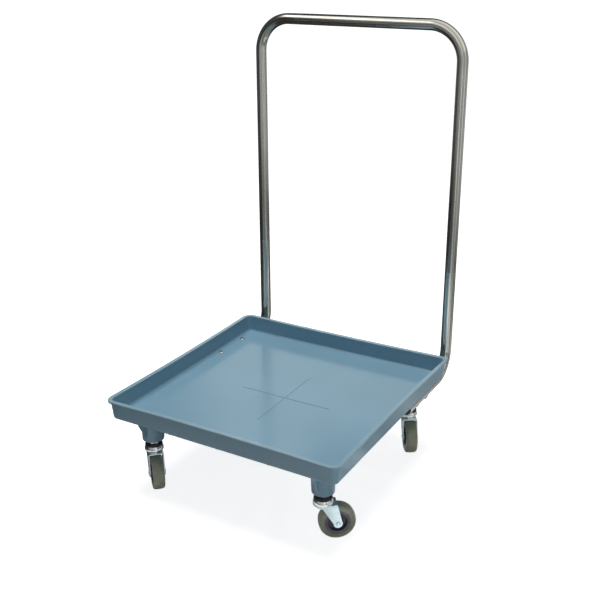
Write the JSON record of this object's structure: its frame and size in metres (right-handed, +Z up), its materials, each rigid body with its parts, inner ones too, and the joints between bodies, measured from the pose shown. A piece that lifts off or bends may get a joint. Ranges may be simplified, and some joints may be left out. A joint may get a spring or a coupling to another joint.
{
  "type": "dish rack trolley",
  "caption": "Low trolley with a square plastic tray that holds a dish rack, a tall steel push handle bent into a U, and swivel casters under its corners.",
  "frame": {"origin": "on the ground, at the middle of the whole trolley's footprint", "axes": "+Z up, +X to the trolley's right as seen by a person facing its front, the side away from the handle is -Y and the handle stands at +Y"},
  "size_m": [0.5532, 0.6101, 0.95],
  "materials": {
    "tray_plastic": "semi-gloss",
    "stainless_tube": "brushed",
    "bright_fastener": "polished",
    "bearing_steel": "polished",
    "zinc_plate": "zinc plated",
    "seal_rubber": "matt",
    "plug_plastic": "matt",
    "core_plastic": "satin",
    "tyre_rubber": "satin"
  },
  "bodies": {
    "chassis": {"tray": "tray_plastic", "handle_upper": "stainless_tube", "handle_lower_left": "stainless_tube", "handle_lower_right": "stainless_tube", "tube_plug_left": "plug_plastic", "tube_plug_right": "plug_plastic", "floor_bolts": "bright_fastener", "tube_washers": "bright_fastener", "tube_nuts": "bright_fastener", "caster_stem_front_left": "bearing_steel", "seal_ring_front_left": "seal_rubber", "bearing_cup_front_left": "bearing_steel", "lower_race_front_left": "zinc_plate", "caster_stem_front_right": "bearing_steel", "seal_ring_front_right": "seal_rubber", "bearing_cup_front_right": "bearing_steel", "lower_race_front_right": "zinc_plate", "caster_stem_rear_left": "bearing_steel", "seal_ring_rear_left": "seal_rubber", "bearing_cup_rear_left": "bearing_steel", "lower_race_rear_left": "zinc_plate", "caster_stem_rear_right": "bearing_steel", "seal_ring_rear_right": "seal_rubber", "bearing_cup_rear_right": "bearing_steel", "lower_race_rear_right": "zinc_plate"},
    "swivel_front_left": {"fork_front_left": "zinc_plate", "axle_front_left": "zinc_plate", "axle_sleeve_front_left": "zinc_plate", "ball_race_front_left": "bearing_steel"},
    "wheel_front_left": {"wheel_core_front_left": "core_plastic", "tyre_front_left": "tyre_rubber"},
    "swivel_front_right": {"fork_front_right": "zinc_plate", "axle_front_right": "zinc_plate", "axle_sleeve_front_right": "zinc_plate", "ball_race_front_right": "bearing_steel"},
    "wheel_front_right": {"wheel_core_front_right": "core_plastic", "tyre_front_right": "tyre_rubber"},
    "swivel_rear_left": {"fork_rear_left": "zinc_plate", "axle_rear_left": "zinc_plate", "axle_sleeve_rear_left": "zinc_plate", "ball_race_rear_left": "bearing_steel"},
    "wheel_rear_left": {"wheel_core_rear_left": "core_plastic", "tyre_rear_left": "tyre_rubber"},
    "swivel_rear_right": {"fork_rear_right": "zinc_plate", "axle_rear_right": "zinc_plate", "axle_sleeve_rear_right": "zinc_plate", "ball_race_rear_right": "bearing_steel"},
    "wheel_rear_right": {"wheel_core_rear_right": "core_plastic", "tyre_rear_right": "tyre_rubber"}
  },
  "joints": [
    {"name": "front_left_swivel", "type": "hinge", "parent": "chassis", "child": "swivel_front_left", "pos_m": [-0.208, -0.234, 0.08], "axis": [0, 0, 1], "continuous": true},
    {"name": "front_left_spin", "type": "hinge", "parent": "swivel_front_left", "child": "wheel_front_left", "pos_m": [-0.18822, -0.2531, 0.0375], "axis": [0.6947, 0.7193, 0], "continuous": true},
    {"name": "front_right_swivel", "type": "hinge", "parent": "chassis", "child": "swivel_front_right", "pos_m": [0.208, -0.234, 0.08], "axis": [0, 0, 1], "continuous": true},
    {"name": "front_right_spin", "type": "hinge", "parent": "swivel_front_right", "child": "wheel_front_right", "pos_m": [0.22967, -0.21707, 0.0375], "axis": [-0.6157, 0.788, 0], "continuous": true},
    {"name": "rear_left_swivel", "type": "hinge", "parent": "chassis", "child": "swivel_rear_left", "pos_m": [-0.208, 0.178, 0.08], "axis": [0, 0, 1], "continuous": true},
    {"name": "rear_left_spin", "type": "hinge", "parent": "swivel_rear_left", "child": "wheel_rear_left", "pos_m": [-0.19032, 0.15693, 0.0375], "axis": [0.766, 0.6428, 0], "continuous": true},
    {"name": "rear_right_swivel", "type": "hinge", "parent": "chassis", "child": "swivel_rear_right", "pos_m": [0.208, 0.178, 0.08], "axis": [0, 0, 1], "continuous": true},
    {"name": "rear_right_spin", "type": "hinge", "parent": "swivel_rear_right", "child": "wheel_rear_right", "pos_m": [0.22338, 0.1552, 0.0375], "axis": [0.829, 0.5592, 0], "continuous": true}
  ]
}
